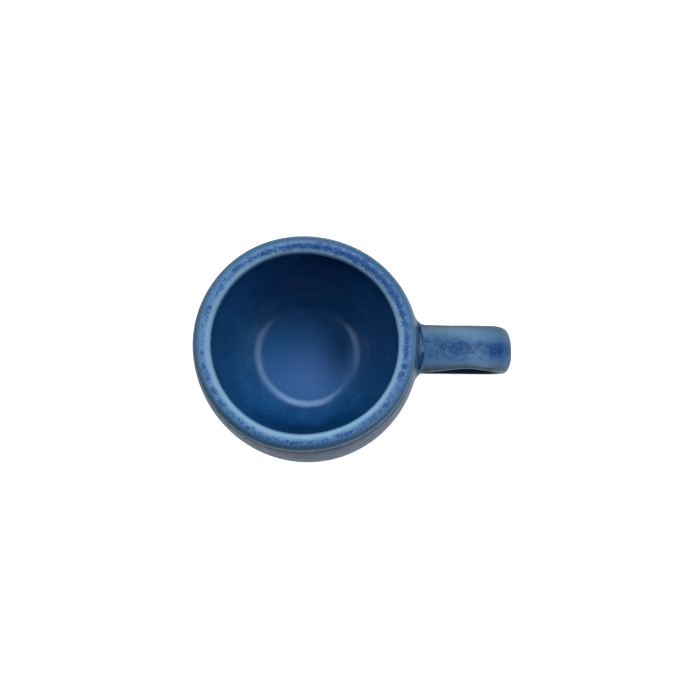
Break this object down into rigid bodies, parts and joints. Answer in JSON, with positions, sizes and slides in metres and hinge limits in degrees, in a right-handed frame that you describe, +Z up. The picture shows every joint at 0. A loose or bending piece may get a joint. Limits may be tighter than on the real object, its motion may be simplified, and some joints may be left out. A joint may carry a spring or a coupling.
{
  "type": "shaving mug",
  "caption": "Round thrown stoneware shaving mug with a rolled rim, a pulled strap handle, mottled blue glaze outside and navy glaze inside.",
  "frame": {"origin": "centre of the flat foot, on the cup's axis", "axes": "+Z up along the cup's axis, +X towards the handle"},
  "size_m": [0.1484, 0.105, 0.074],
  "materials": {
    "stoneware": "matte, bare",
    "outer_glaze": "satin, mottled blue",
    "liner_glaze": "gloss, dark navy"
  },
  "bodies": {
    "root": {"mug_body": "stoneware", "handle": "stoneware", "upper_handle_joint": "stoneware", "lower_handle_joint": "stoneware", "liner_glaze": "liner_glaze", "outer_glaze": "outer_glaze"}
  },
  "joints": []
}
